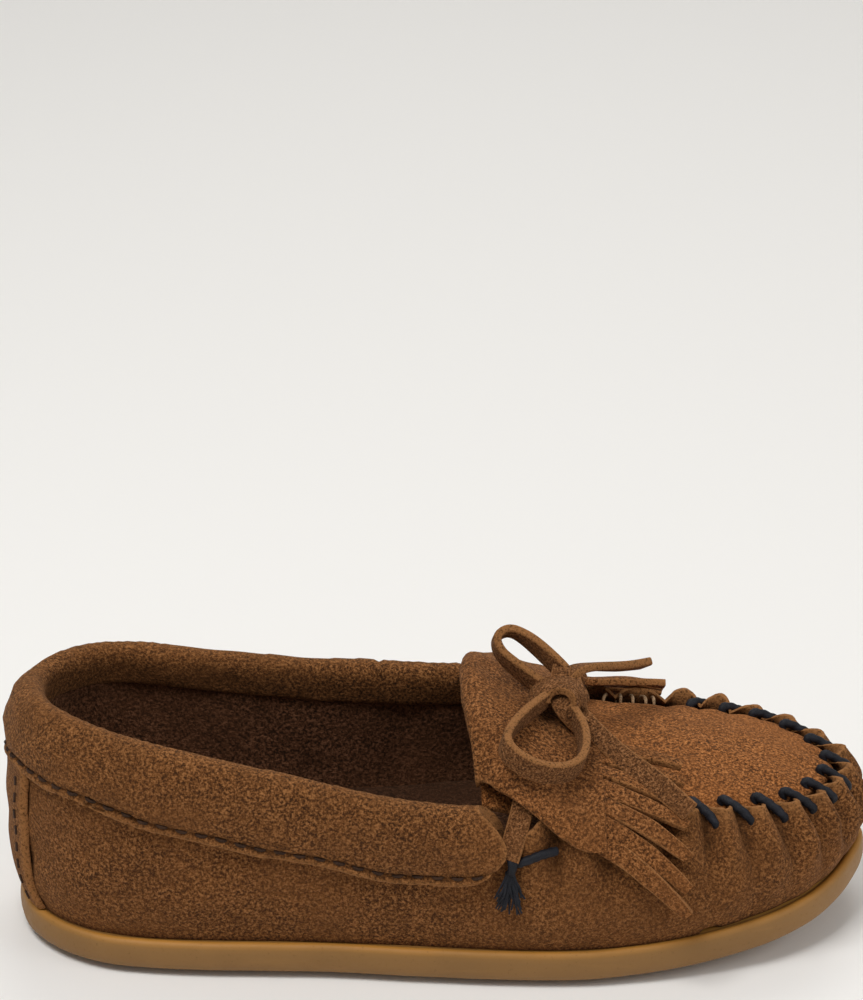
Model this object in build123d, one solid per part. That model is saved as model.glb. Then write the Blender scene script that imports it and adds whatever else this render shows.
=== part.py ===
import os
from math import pi, sin, tan

from build123d import *

# A child's hard-sole suede moccasin with a fringed kiltie and a thong bow, right shoe.
# Millimetres. +X to the toe, +Y to the inner side, +Z up. The origin is on the floor, under
# the tread stud at the middle of the arch.

# ---- driving dimensions -------------------------------------------------------------------
LEATHER = 1.7              # suede thickness
FIT = 0.3                  # air between pieces on different bodies
STUD_H = 1.5               # tread studs lift the sole this far off the floor
STUD_R = 2.2
STUD_PITCH = 10.0
SOLE_H = 6.7
SOLE_TOP = STUD_H + SOLE_H
TOE_X, HEEL_X = 92.5, -92.5
SPRING_X = 20.0            # the sole is flat behind this, and rises in front of it
TOE_SPRING = 8.0
LEDGE = 2.6                # rubber showing outside the upper
MARGIN_W = 11.0            # turned-in edge of the upper under the insole
BOARD_T, FOAM_T, SOCK_T = 1.4, 2.4, 0.9
THONG_W, THONG_T = 4.8, 1.6
COLLAR_OUT, COLLAR_IN = 15.5, 9.0      # height of the collar's outer and inner flaps
COLLAR_END_X = 12.0
BACKSTAY_W, BACKSTAY_X = 28.0, -82.0
PLUG_INSET = 10.3          # plug's edge inside the sole's edge
TOE_INSET_CUT = 2.8        # how much less of that there is at the toe
THROAT_X = 6.0
SLIT_X, TIP_X = 33.0, 50.5             # fringe strands, from slit to tip
WHIP_R, WHIP_RING = 1.05, 3.4          # waxed whip stitch and its ring through the seam
WHIP_PITCH = 7.6
FINE_R = 0.35              # fine machine thread
STRANDS = 18               # strands that the fringe's whole width would make
NOTCH_X = 29.5             # the flap's front edge between its two fringes
KNOT = Vector(24.0, -4.0, 52.6)

# Edge of the rubber sole from above: toe, inner side, heel, outer side.
SOLE_EDGE = [
    (TOE_X, 3), (88.8, 14), (80, 25), (64, 33.5), (42, 35.5), (18, 32.5), (-8, 28.5),
    (-34, 27), (-60, 27.5), (-80, 23.5), (-90.5, 11), (HEEL_X, -2), (-90, -12.5), (-79, -24.5),
    (-58, -30.5), (-32, -32.2), (-6, -35), (18, -37.4), (42, -36.6), (62, -32), (79, -23.3),
    (89.4, -9),
]

# Lines of the upper from the side, heel to toe, as (x, height).
TOPLINE = [(-100, 57.5), (-84, 57.5), (-72, 56), (-60, 54), (-40, 49.5), (-20, 45.3), (0, 42.3),
           (14, 41.5)]
RIDGE = [(10, 40), (30, 38), (46, 36), (60, 34.5), (75, 33), (88, 31.5), (100, 31)]

# Arches of the flap over the instep, each (x, [points across the shoe as (y, z)]), from the
# outer edge over the outer ridge, the crown and the inner ridge to the inner edge.
KILTIE = [
    (THROAT_X, [(-25.6, 44.0), (-18.0, 52.2), (0.0, 57.0), (13.0, 54.6), (19.6, 48.6)]),
    (13.0, [(-31.5, 43.2), (-24.0, 49.2), (0.0, 54.0), (20.0, 50.4), (26.5, 45.0)]),
    (22.0, [(-36.4, 37.4), (-30.0, 43.4), (-0.5, 50.0), (24.4, 45.6), (32.0, 40.4)]),
    (SLIT_X, [(-37.6, 31.6), (-29.6, 41.0), (-0.5, 45.8), (27.2, 41.0), (35.2, 34.0)]),
    (42.0, [(-38.9, 25.4), (-28.9, 39.6), (-0.5, 43.8), (27.8, 39.6), (36.4, 31.0)]),
    (TIP_X, [(-39.2, 18.6), (-28.2, 38.6), (-0.5, 42.6), (27.4, 38.6), (37.0, 27.0)]),
]
PLUG_CROWN = [(THROAT_X, 51.0), (13, 49.0), (22, 45.2), (SLIT_X, 41.4), (46, 38.6), (60, 37.0),
              (75, 34.8), (90, 31.5)]
PLUG_EDGE = [(THROAT_X, 35.5), (22, 35.6), (46, 34.3), (60, 33.3), (75, 31.6), (90, 29.5)]

# The bow's thongs: the plane that each bends in, and its route there, from the knot outward.
FACING = Plane(KNOT, x_dir=(1, 0, 0), z_dir=(0, -0.8, 0.6))
LYING = Plane(KNOT + Vector(0, 0, 1.7), x_dir=(0.94, 0, -0.34), z_dir=(0.33, -0.22, 0.92))
HANGING = Plane(KNOT, x_dir=(0.771, -0.637, 0), z_dir=(-0.637, -0.771, 0))
REACHING = Plane(KNOT, x_dir=(0.743, 0.669, 0), z_dir=(0.669, -0.743, 0))
BOW = {
    "loop_far": (FACING, [(-4.4, 2.2), (-9.2, 4.2), (-14.0, 7.6), (-15.4, 12.4), (-12.4, 16.4),
                          (-7.4, 15.4), (-2.0, 11.4), (1.6, 5.2)]),
    "loop_near": (LYING, [(-2.4, -5.2), (-8, -9.0), (-10.4, -14.5), (-6.5, -20.5), (0.5, -22),
                          (6.0, -18), (6.0, -11.5), (2.0, -5.8)]),
    "tail_near": (HANGING, [(4.8, -0.8), (11, -4.0), (20, -7.0), (29, -9.4), (37.5, -13.0)]),
    "tail_far": (REACHING, [(5.6, 0.8), (10.5, 4.6), (17.0, 6.0), (23.5, 3.3), (29.5, -0.5)]),
}


# ---- helpers ------------------------------------------------------------------------------
def spring(x):
    """Rise of the sole's toe above the floor at x."""
    return TOE_SPRING * max(0.0, (x - SPRING_X) / (TOE_X - SPRING_X)) ** 2


def smooth(t):
    t = min(max(t, 0.0), 1.0)
    return t * t * (3 - 2 * t)


def along(line, x):
    """Height of a side line at x."""
    for (x0, z0), (x1, z1) in zip(line, line[1:]):
        if x <= x1:
            return z0 + (z1 - z0) * max(0.0, (x - x0) / (x1 - x0))
    return line[-1][1]


def plug_inset(x):
    """How far the plug's edge is inside the sole's edge."""
    return PLUG_INSET - TOE_INSET_CUT * smooth((x - 66) / 24)


def wall_offset(x, z):
    """How far outside the sole's edge the upper's outer face is, at x and height z."""
    floor = SOLE_TOP + spring(x)
    h = z - floor
    heel = -LEDGE * max(0.0, 1 - h / 12) ** 2 - 4.0 * (max(0.0, h - 24) / 26) ** 2
    lean = max(0.0, h - 8) / (along(RIDGE, x) - floor - 8)
    toe = -LEDGE * max(0.0, 1 - h / 8) ** 2 - (plug_inset(x) - LEATHER - FIT) * min(lean, 1.3) ** 2
    front = smooth((x + 10) / 50)
    return (1 - front) * heel + front * toe


def outline(offset, z=0.0):
    """Closed curve at height z, outside the sole's edge by offset, a number or function of x."""
    count = len(SOLE_EDGE)
    points = []
    for i, (x, y) in enumerate(SOLE_EDGE):
        (xa, ya), (xb, yb) = SOLE_EDGE[i - 1], SOLE_EDGE[(i + 1) % count]
        tangent = Vector(xb - xa, yb - ya).normalized()
        out = offset(x) if callable(offset) else offset
        points.append((x + tangent.Y * out, y - tangent.X * out, z))
    return Spline(*points, periodic=True)


def filled(curve):
    return make_face(Wire([curve]))


def column(offset, z0, z1):
    """Upright prism on the sole's outline."""
    return extrude(filled(outline(offset, z0)), amount=z1 - z0, dir=(0, 0, 1))


def lasted(offset):
    """Solid inside the upper's outer face moved out by offset."""
    levels = (3, 12, 21, 30, 40, 50, 62)
    return loft([filled(outline(lambda x: wall_offset(x, z) + offset, z)) for z in levels])


def side_curve(line, x0, x1, steps):
    """Curve in the middle plane along a side line, which is a function of x."""
    stations = [x0 + (x1 - x0) * i / steps for i in range(steps + 1)]
    return Spline(*[(x, 0, line(x)) for x in stations])


def side_slab(low, high, x0, x1, steps=12):
    """Slab across the shoe between two side lines, which are functions of x."""
    bottom, top = side_curve(low, x0, x1, 12), side_curve(high, x0, x1, steps)
    back, front = Line(top @ 0, bottom @ 0), Line(bottom @ 1, top @ 1)
    return extrude(make_face(Wire([bottom, front, top, back])), amount=70, both=True)


def sole_line(height):
    """Side line at a height above the sole's top that follows the toe spring."""
    return lambda x: SOLE_TOP + height + spring(x)


def arch_point(x, arch, u, depth=0.0):
    """Point depth under an arch across the shoe, at u from 0 at its outer edge to 1."""
    line = Spline(*[(x, y, z) for y, z in arch])
    down = line.tangent_at(u).cross(Vector(1, 0, 0))
    return line.position_at(u) + down.normalized() * depth


def arch_band(x, arch, u0=0.0, u1=1.0, top=0.0, thickness=LEATHER, steps=6):
    """Curved strip in the plane across the shoe at x, from u0 to u1 along the arch."""
    stations = [u0 + (u1 - u0) * i / steps for i in range(steps + 1)]
    upper = Spline(*[arch_point(x, arch, u, top) for u in stations])
    lower = Spline(*[arch_point(x, arch, u, top + thickness) for u in stations])
    ends = [Line(upper @ 0, lower @ 0), Line(lower @ 1, upper @ 1)]
    return make_face(Wire([ends[0], lower, ends[1], upper]))


def ring_on(point, tangent, ring, thread):
    """Thread ring round a seam that runs along tangent."""
    plane = Plane(origin=point, z_dir=tangent)
    return plane * Torus(ring, thread)


def bar(start, end, radius):
    """Short round bar between two points."""
    direction = end - start
    return Plane(origin=(start + end) / 2, z_dir=direction) * Cylinder(radius, direction.length)


# ---- bottom unit --------------------------------------------------------------------------
def outsole():
    sole = column(0, 0, 30) & side_slab(sole_line(-SOLE_H), sole_line(0), -100, 100)
    inside = column(-6.5, -5, 40)
    studs = []
    for row in range(-4, 5):
        for step in range(-9, 10):
            x = (step + (row % 2) / 2) * STUD_PITCH
            y = row * STUD_PITCH * sin(pi / 3)
            if inside.is_inside(Vector(x, y, 5)):
                studs.append(Pos(x, y, spring(x) + STUD_H / 2 + 0.5) * Cylinder(STUD_R, STUD_H + 1))
    return sole + studs


def layer(inset, low, thickness):
    """Flat layer inside the upper, low above the sole's top."""
    return column(-inset, 0, 40) & side_slab(sole_line(low), sole_line(low + thickness), -100, 100)


def side_wall():
    """The single piece of suede from the heel round the toe, with its turned-in margin."""
    def top(x):
        rise = smooth((x - COLLAR_END_X - 1) / 10)
        return (1 - rise) * (along(TOPLINE, x) - 2.4 - THONG_W) + rise * along(RIDGE, x)

    shell = (lasted(0) - lasted(-LEATHER)) & side_slab(sole_line(0), top, -100, 100, 40)
    margin = layer(LEDGE + LEATHER / 2, 0, LEATHER) - column(-LEDGE - MARGIN_W, 0, 40)
    return shell + margin


def heel_band(outer, inner, low, high, x_end):
    """Part of a shell at the heel, between two heights."""
    return (lasted(outer) - lasted(inner)) & side_slab(low, high, -100, x_end)


def heel_backstay():
    low = sole_line(0.2)
    strip = heel_band(LEATHER + 0.05, 0.02, low, lambda x: along(TOPLINE, x) - COLLAR_OUT - 0.2,
                      BACKSTAY_X)
    return strip & Pos(-90, -1.5, 30) * Box(60, BACKSTAY_W, 80)


def collar():
    """Folded suede cuff round the opening: outer flap, rolled top and inner flap."""
    def top(x):
        return along(TOPLINE, x)

    def under(depth):
        return side_slab(lambda x: top(x) - 40, lambda x: top(x) - depth, -100, 20)

    cuff = lasted(LEATHER + 0.05) & side_slab(lambda x: top(x) - COLLAR_OUT, top, -100, COLLAR_END_X)
    cuff -= lasted(-2 * LEATHER - 0.05)
    cuff -= (lasted(0.05) - lasted(-LEATHER - 0.1)) & under(LEATHER)
    return cuff - (lasted(-LEATHER - 0.05) & under(COLLAR_IN))


def lace_collar_run():
    """The thong inside the collar's fold, from one front end round the heel to the other."""
    def top(x):
        return along(TOPLINE, x) - LEATHER - 0.5

    return heel_band(-0.05, -THONG_T - 0.05, lambda x: top(x) - THONG_W, top, COLLAR_END_X)


# ---- instep -------------------------------------------------------------------------------
def plug_arch(x):
    edge, crown = along(PLUG_EDGE, x), along(PLUG_CROWN, x)
    shoulder = edge + 0.74 * (crown - edge)
    return (-30.0, edge), (-15.0, shoulder), (0.0, crown), (15.0, shoulder), (30.0, edge)


def toe_plug():
    """The lens of suede over the toes, its tongue reaching back to the throat."""
    stations = (THROAT_X + 1, 22, SLIT_X, 46, 60, 75, 90)
    sheet = loft([arch_band(x, plug_arch(x)) for x in stations])
    return sheet & column(lambda x: -plug_inset(x), 0, 80)


def kiltie():
    """The flap over the instep, up to the roots of its fringe, with the hole under the knot."""
    flap = loft([arch_band(x, arch) for x, arch in KILTIE if x <= SLIT_X])
    notch = Pos(NOTCH_X + 20, 8, 50) * Box(40, 26, 40)
    return flap - notch - Pos(KNOT.X, KNOT.Y, KNOT.Z - 6) * Cylinder(2.9, 12)


def strands(first, last):
    """Fringe strands first to last of STRANDS, numbered from the outer side."""
    group = []
    for k in range(first, last + 1):
        sections = []
        for x, arch in KILTIE[-3:]:
            gap = 0.005 + 0.007 * (x - SLIT_X) / (TIP_X - SLIT_X)
            start = x + FIT if x == SLIT_X else x
            span = k / STRANDS + gap, (k + 1) / STRANDS - gap
            sections.append(arch_band(start, arch, *span, steps=2))
        group.append(loft(sections))
    return Compound(children=group)


def throat_lace(side):
    """The thong's run from the collar's end up under the flap to the knot's hole."""
    (xa, outer_arch), (xb, inner_arch) = KILTIE[1:3]
    ends = (0.02, 0.42) if side < 0 else (0.58, 0.96)
    bands = []
    for x in (xa + 1, xa + 1 + THONG_W):
        part = (x - xa) / (xb - xa)
        arch = [(ya + (yb - ya) * part, za + (zb - za) * part)
                for (ya, za), (yb, zb) in zip(outer_arch, inner_arch)]
        bands.append(arch_band(x, arch, *ends, top=LEATHER + 0.7, thickness=THONG_T))
    return loft(bands)


# ---- thong bow ----------------------------------------------------------------------------
def lace_knot():
    """The knot with its stem through the flap's hole."""
    body = Location(KNOT, (0, 70, 20)) * Cylinder(4.1, 7.4)
    body = fillet(body.edges(), 2.2)
    stem = Pos(KNOT.X, KNOT.Y, KNOT.Z - 3.6) * Cylinder(2.2, 4.4)
    return body + stem


def corner_radii(points):
    """Radius at each inner point of a route: as large as its two runs allow."""
    radii = []
    for a, b, c in zip(points, points[1:], points[2:]):
        first, second = Vector(*b) - Vector(*a), Vector(*c) - Vector(*b)
        half_turn = first.get_angle(second) * pi / 360
        radii.append(0.45 * min(first.length, second.length) / tan(half_turn))
    return radii


def thong(name):
    """A flat thong of the bow, bent in its own plane and standing across it by its width."""
    plane, points = BOW[name]
    radii = corner_radii(points)
    path = FilletPolyline(*points, radius=radii)
    strip = trace(path, line_width=THONG_T)
    print(name, "route", round(path.length, 1), "mm, radii", [round(r, 1) for r in radii])
    return extrude(plane * strip, amount=THONG_W / 2, both=True)


# ---- thread -------------------------------------------------------------------------------
def toe_whip_stitches():
    """Waxed thread rings through the plug's edge and the gathered edge of the wall."""
    seam = outline(lambda x: 1.2 - plug_inset(x))
    steps = int(seam.length / WHIP_PITCH)
    rings = []
    for i in range(steps):
        point = seam.position_at(i / steps)
        if point.X > TIP_X + 1.5:
            centre = Vector(point.X, point.Y, along(RIDGE, point.X) - 2.4)
            rings.append(ring_on(centre, seam.tangent_at(i / steps), WHIP_RING, WHIP_R))
    return Compound(children=rings)


def plug_seam_thread():
    """Fine stitches on the inner side, between the whip stitches and the flap."""
    seam = outline(lambda x: 0.6 - plug_inset(x))
    steps = int(seam.length / 2.4)
    loops = []
    for i in range(steps):
        point = seam.position_at(i / steps)
        if 36 < point.X < TIP_X - 0.5 and point.Y > 0:
            centre = Vector(point.X, point.Y, along(RIDGE, point.X) - 2.0)
            loops.append(ring_on(centre, seam.tangent_at(i / steps), 1.6, FINE_R))
    return Compound(children=loops)


def collar_stitching(pitch=4.2, stitch=2.2):
    """Stitches let into the collar's outer flap, just above its lower edge."""
    guide = outline(0)
    count = int(guide.length / pitch)
    made = []
    for i in range(count):
        rough = guide.position_at(i / count)
        if rough.X < COLLAR_END_X - 2:
            level = along(TOPLINE, rough.X) - COLLAR_OUT + 1.6
            curve = outline(lambda x: wall_offset(x, level) + LEATHER, level)
            point, half = curve.position_at(i / count), curve.tangent_at(i / count) * stitch / 2
            made.append(bar(point - half, point + half, FINE_R))
    return Compound(children=made)


def backstay_stitching():
    """A line of stitches down each edge of the heel strip."""
    made = []
    for height in range(14, 40, 4):
        curve = outline(lambda x: wall_offset(x, height) + LEATHER, height)
        ring = [curve.position_at(u / 400) for u in range(400)]
        for y in (-13.8, 10.8):
            point = min((p for p in ring if p.X < 0), key=lambda p: abs(p.Y - y))
            made.append(bar(point, point + Vector(0, 0, 2.2), FINE_R))
    return Compound(children=made)


def thread_knot(side):
    """The waxed thread tied through the collar's end, with its frayed tails."""
    y = -36.2 if side < 0 else 30.6
    centre = Vector(14.6, y, 29.5)
    knot = Pos(centre) * Sphere(1.9)
    knot += bar(centre, centre + Vector(8.5, side * -0.6, 2.6), WHIP_R)
    for spread in (-1.4, 0.2, 1.8):
        knot += bar(centre, centre + Vector(-0.5 + spread, side * 2.4, -9.5), 0.6)
    return knot


PARTS = {
    "outsole": outsole,
    "side_wall": side_wall,
    "midsole_filler": lambda: layer(LEDGE + MARGIN_W + 0.3, 0.02, LEATHER - 0.04),
    "insole_board": lambda: layer(LEDGE + LEATHER + 0.5, LEATHER + 0.02, BOARD_T),
    "insole_foam": lambda: layer(LEDGE + LEATHER + 0.5, LEATHER + BOARD_T + 0.04, FOAM_T),
    "sock_lining": lambda: layer(LEDGE + LEATHER + 0.4, LEATHER + BOARD_T + FOAM_T + 0.06, SOCK_T),
    "heel_backstay": heel_backstay,
    "heel_counter": lambda: heel_band(-LEATHER - 0.05, -LEATHER - 1.15, sole_line(7.2),
                                      lambda x: along(TOPLINE, x) - COLLAR_IN - 1.5, -58),
    "heel_lining": lambda: heel_band(-LEATHER - 1.2, -LEATHER - 2.2, sole_line(7.2),
                                     lambda x: along(TOPLINE, x) - COLLAR_IN - 0.4, -52),
    "collar": collar,
    "lace_collar_run": lace_collar_run,
    "toe_plug": toe_plug,
    "kiltie": kiltie,
    "fringe_near": lambda: strands(0, 3),
    "fringe_middle": lambda: strands(4, 6),
    "fringe_far": lambda: strands(14, 17),
    "lace_run_near": lambda: throat_lace(-1),
    "lace_run_far": lambda: throat_lace(1),
    "lace_knot": lace_knot,
    "loop_near": lambda: thong("loop_near"),
    "loop_far": lambda: thong("loop_far"),
    "tail_near": lambda: thong("tail_near"),
    "tail_far": lambda: thong("tail_far"),
    "collar_stitching": collar_stitching,
    "backstay_stitching": backstay_stitching,
    "plug_seam_thread": plug_seam_thread,
    "thread_knot_near": lambda: thread_knot(-1),
    "thread_knot_far": lambda: thread_knot(1),
    "toe_whip_stitches": toe_whip_stitches,
}

if __name__ == "__main__":
    os.makedirs("parts", exist_ok=True)
    for name, build in PARTS.items():
        solid = build()
        solid.label = name
        export_step(solid, f"parts/{name}.step")
        print(name, round(solid.volume, 1), "mm3")
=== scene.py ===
import math

import bpy
import bmesh
import numpy as np
from mathutils import Matrix, Vector
from mathutils.bvhtree import BVHTree


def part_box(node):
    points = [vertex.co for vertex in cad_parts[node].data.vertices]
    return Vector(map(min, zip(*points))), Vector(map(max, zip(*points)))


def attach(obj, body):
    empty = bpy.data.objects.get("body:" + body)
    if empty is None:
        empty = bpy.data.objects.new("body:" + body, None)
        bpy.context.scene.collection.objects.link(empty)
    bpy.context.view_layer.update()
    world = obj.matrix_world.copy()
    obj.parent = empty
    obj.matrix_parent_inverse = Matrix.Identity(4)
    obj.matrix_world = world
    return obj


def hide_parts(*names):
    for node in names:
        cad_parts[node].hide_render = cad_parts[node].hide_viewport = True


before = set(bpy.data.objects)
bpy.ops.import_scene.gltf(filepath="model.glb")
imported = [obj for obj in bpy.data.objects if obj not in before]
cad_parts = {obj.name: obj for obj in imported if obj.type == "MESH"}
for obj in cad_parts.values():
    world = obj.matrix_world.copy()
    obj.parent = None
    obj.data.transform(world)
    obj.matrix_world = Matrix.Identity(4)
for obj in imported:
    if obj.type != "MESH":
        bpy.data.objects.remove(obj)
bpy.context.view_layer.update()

bl_info = {
    "name": "Fringed moccasin",
    "version": (1, 0, 0),
    "blender": (4, 5, 0),
    "location": "View3D > Sidebar > Moccasin",
    "description": "Builds the suede, rubber, thong and thread of a fringed moccasin round its frame",
    "category": "Object",
}

MM = 0.001
SHOE = "shoe"
UP = np.array((0.0, 0.0, 1.0))


# ---- measuring the frame, in millimetres ----------------------------------------------------
class Probe:
    """Looks for the surfaces of the frame's nodes."""

    def __init__(self, *nodes):
        points, faces = [], []
        for node in nodes:
            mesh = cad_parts[node].data
            first = len(points)
            points += [v.co / MM for v in mesh.vertices]
            faces += [[first + i for i in p.vertices] for p in mesh.polygons]
        self.tree = BVHTree.FromPolygons(points, faces)

    def hit(self, start, direction, reach=200.0):
        """First point of the surface that a ray meets, or None."""
        found = self.tree.ray_cast(Vector(start), Vector(direction), reach)[0]
        return None if found is None else np.array(found)

    def inward(self, station, z):
        """Distance from the spine to the outermost surface at a station and height, or None."""
        start = np.append(station.spine + station.out * 90, z)
        found = self.hit(start, np.append(-station.out, 0.0), 88.0)
        return None if found is None else float((found[:2] - station.spine) @ station.out)

    def down(self, x, y, start=90.0):
        """Height of the surface under a point well above it, or None."""
        found = self.hit((x, y, start), (0, 0, -1))
        return None if found is None else found[2]


class Station:
    """A place round the shoe: a point of its spine, and the direction out to the side there."""

    def __init__(self, spine, angle):
        self.spine = np.array(spine)
        self.out = np.array((math.cos(angle), math.sin(angle)))
        self.ahead = np.array((-self.out[1], self.out[0]))

    def at(self, radius, z):
        """The point at a distance out from the spine, at a height."""
        return np.append(self.spine + self.out * radius, z)


SPINE_HEEL, SPINE_TOE = np.array((-60.0, -1.5)), np.array((52.0, 0.0))
HEEL_ARC, TOE_ARC, SIDE = 52.0, 112.0, 112.0
AROUND = 2 * HEEL_ARC + 2 * SIDE + TOE_ARC
TOE_START, TOE_END = HEEL_ARC + SIDE, HEEL_ARC + SIDE + TOE_ARC


def station(s):
    """The place at s millimetres round the shoe, from the heel along the outer side."""
    s %= AROUND
    if s < HEEL_ARC:
        return Station(SPINE_HEEL, math.pi + s / HEEL_ARC * math.pi / 2)
    if s < TOE_START:
        return Station(SPINE_HEEL + (SPINE_TOE - SPINE_HEEL) * (s - HEEL_ARC) / SIDE, 1.5 * math.pi)
    if s < TOE_END:
        return Station(SPINE_TOE, 1.5 * math.pi + (s - TOE_START) / TOE_ARC * math.pi)
    if s < TOE_END + SIDE:
        return Station(SPINE_TOE + (SPINE_HEEL - SPINE_TOE) * (s - TOE_END) / SIDE, math.pi / 2)
    return Station(SPINE_HEEL, math.pi / 2 + (s - TOE_END - SIDE) / HEEL_ARC * math.pi / 2)


def place_of(point):
    """How far round the shoe a point is."""
    x, y = point[:2]
    if x > SPINE_TOE[0]:
        return TOE_START + (math.atan2(y - SPINE_TOE[1], x - SPINE_TOE[0]) / math.pi + 0.5) * TOE_ARC
    if x < SPINE_HEEL[0]:
        turn = math.atan2(y - SPINE_HEEL[1], x - SPINE_HEEL[0]) % (2 * math.pi)
        return (turn / math.pi - 1) * 2 * HEEL_ARC % AROUND
    along = (x - SPINE_HEEL[0]) / (SPINE_TOE[0] - SPINE_HEEL[0]) * SIDE
    return HEEL_ARC + along if y < 0 else TOE_END + SIDE - along


def islands(node):
    """The vertices, in millimetres, of each separate solid of a node."""
    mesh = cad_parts[node].data
    parent = list(range(len(mesh.vertices)))

    def root(i):
        """The vertex that stands for all those joined to vertex i."""
        while parent[i] != i:
            parent[i] = parent[parent[i]]
            i = parent[i]
        return i

    points = np.array([v.co / MM for v in mesh.vertices])
    keys = {}
    for i, p in enumerate(points):
        same = keys.setdefault(tuple(np.round(p, 3)), i)
        parent[root(i)] = root(same)
    for edge in mesh.edges:
        parent[root(edge.vertices[0])] = root(edge.vertices[1])
    groups = {}
    for i in range(len(points)):
        groups.setdefault(root(i), []).append(i)
    return [points[group] for group in groups.values()]


def smooth(t):
    """0 up to t = 0, 1 from t = 1, smooth between."""
    t = np.clip(t, 0.0, 1.0)
    return t * t * (3 - 2 * t)


def wave(seed, size, x, y=0.0):
    """Smooth seeded unevenness between about -1 and 1, with features of a size."""
    rng = np.random.default_rng(seed)
    total = 0.0
    for weight in (1.0, 0.7, 0.5, 0.35):
        angle, phase = rng.uniform(0, 2 * math.pi), rng.uniform(0, 2 * math.pi)
        turn = 2 * math.pi / (size * weight ** 0.8)
        total = total + weight * np.sin(turn * (x * math.cos(angle) + y * math.sin(angle)) + phase)
    return total / 1.6


FLAT_TOP = 8.2                             # the sole's top, where it is flat
STUD_HEIGHT = 1.5
RISE_START, RISE_END, TOE_RISE = 20.0, 92.5, 8.0


def rise(x):
    """How far the toe spring lifts the sole at x."""
    return TOE_RISE * max(0.0, (x - RISE_START) / (RISE_END - RISE_START)) ** 2


# ---- meshes ---------------------------------------------------------------------------------
def finish_mesh(name, points, faces, marks=None, angle=50):
    """A closed mesh from points in millimetres, with float marks for its material."""
    mesh = bpy.data.meshes.new(name)
    mesh.from_pydata((np.array(points) * MM).tolist(), [], faces)
    for mark, values in (marks or {}).items():
        layer = mesh.attributes.new(mark, "FLOAT", "POINT")
        layer.data.foreach_set("value", np.array(values, np.float32))
    work = bmesh.new()
    work.from_mesh(mesh)
    bmesh.ops.remove_doubles(work, verts=work.verts, dist=1e-6)
    bmesh.ops.recalc_face_normals(work, faces=work.faces)
    work.to_mesh(mesh)
    work.free()
    mesh.shade_smooth()
    mesh.set_sharp_from_angle(angle=math.radians(angle))
    piece = bpy.data.objects.new(name, mesh)
    bpy.context.scene.collection.objects.link(piece)
    return piece


def join_tables(tables):
    """One table of points and faces from several."""
    points, faces = [], []
    for some, quads in tables:
        first = len(points)
        points += list(some)
        faces += [[first + i for i in face] for face in quads]
    return points, faces


def loft_table(sections, ring=False):
    """Points and faces of closed sections joined in a row, with its ends capped or in a ring."""
    sections = np.array(sections)
    rows, count = sections.shape[:2]
    points = sections.reshape(-1, 3).tolist()
    faces = []
    for i in range(rows if ring else rows - 1):
        a, b = i * count, (i + 1) % rows * count
        for j in range(count):
            k = (j + 1) % count
            faces.append([a + j, a + k, b + k, b + j])
    if not ring:
        for row in (0, rows - 1):
            points.append(sections[row].mean(axis=0).tolist())
            centre = len(points) - 1
            for j in range(count):
                faces.append([row * count + j, row * count + (j + 1) % count, centre])
    return points, faces


def sheet_table(top, bottom, rim=0.25):
    """Points and faces of a sheet between two grids, with rounded raw edges, and its edge marks."""
    top, bottom = np.array(top), np.array(bottom)
    rows, count = top.shape[:2]
    loop = [(0, j) for j in range(count)]
    loop += [(i, count - 1) for i in range(1, rows)]
    loop += [(rows - 1, j) for j in range(count - 2, -1, -1)]
    loop += [(i, 0) for i in range(rows - 2, 0, -1)]
    points = top.reshape(-1, 3).tolist() + bottom.reshape(-1, 3).tolist()
    half = rows * count
    faces, marks = [], [0.0] * (2 * half)
    for i in range(rows - 1):
        for j in range(count - 1):
            a = i * count + j
            quad = [a, a + 1, a + count + 1, a + count]
            faces.append(quad)
            faces.append([half + v for v in reversed(quad)])
    first = len(points)
    for i, j in loop:
        inner = (min(max(i, 1), rows - 2), min(max(j, 1), count - 2))
        away = top[i, j] - top[inner]
        away = away / max(np.linalg.norm(away), 1e-6) * rim
        for part in (0.3, 0.7):
            points.append((top[i, j] * (1 - part) + bottom[i, j] * part + away).tolist())
            marks.append(1.0)
    for n, (i, j) in enumerate(loop):
        m = (n + 1) % len(loop)
        p, q = i * count + j, loop[m][0] * count + loop[m][1]
        a, b = first + 2 * n, first + 2 * m
        faces += [[p, a, b, q], [a, a + 1, b + 1, b], [a + 1, half + p, half + q, b + 1]]
        marks[p] = marks[q] = marks[half + p] = marks[half + q] = 0.75
    return points, faces, marks


def tube_table(path, radius, around=10, ply=0.0, lay=3.0):
    """A round thread along path, with ply twisted strands showing if ply is over 0."""
    path = np.array(path, float)
    tangents = np.gradient(path, axis=0)
    tangents /= np.linalg.norm(tangents, axis=1)[:, None]
    side = np.cross(tangents[0], UP if abs(tangents[0][2]) < 0.9 else (1.0, 0, 0))
    run = 0.0
    sections = []
    for i, (point, tangent) in enumerate(zip(path, tangents)):
        side = side - tangent * (side @ tangent)
        side /= np.linalg.norm(side)
        over = np.cross(tangent, side)
        if i:
            run += np.linalg.norm(point - path[i - 1])
        size = radius[i] if np.ndim(radius) else radius
        ring = []
        for k in range(around):
            turn = 2 * math.pi * k / around
            swell = 1 + ply * abs(math.sin(turn + math.pi * run / lay)) - ply / 2
            ring.append(point + size * swell * (math.cos(turn) * side + math.sin(turn) * over))
        sections.append(ring)
    return loft_table(sections)


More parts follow.
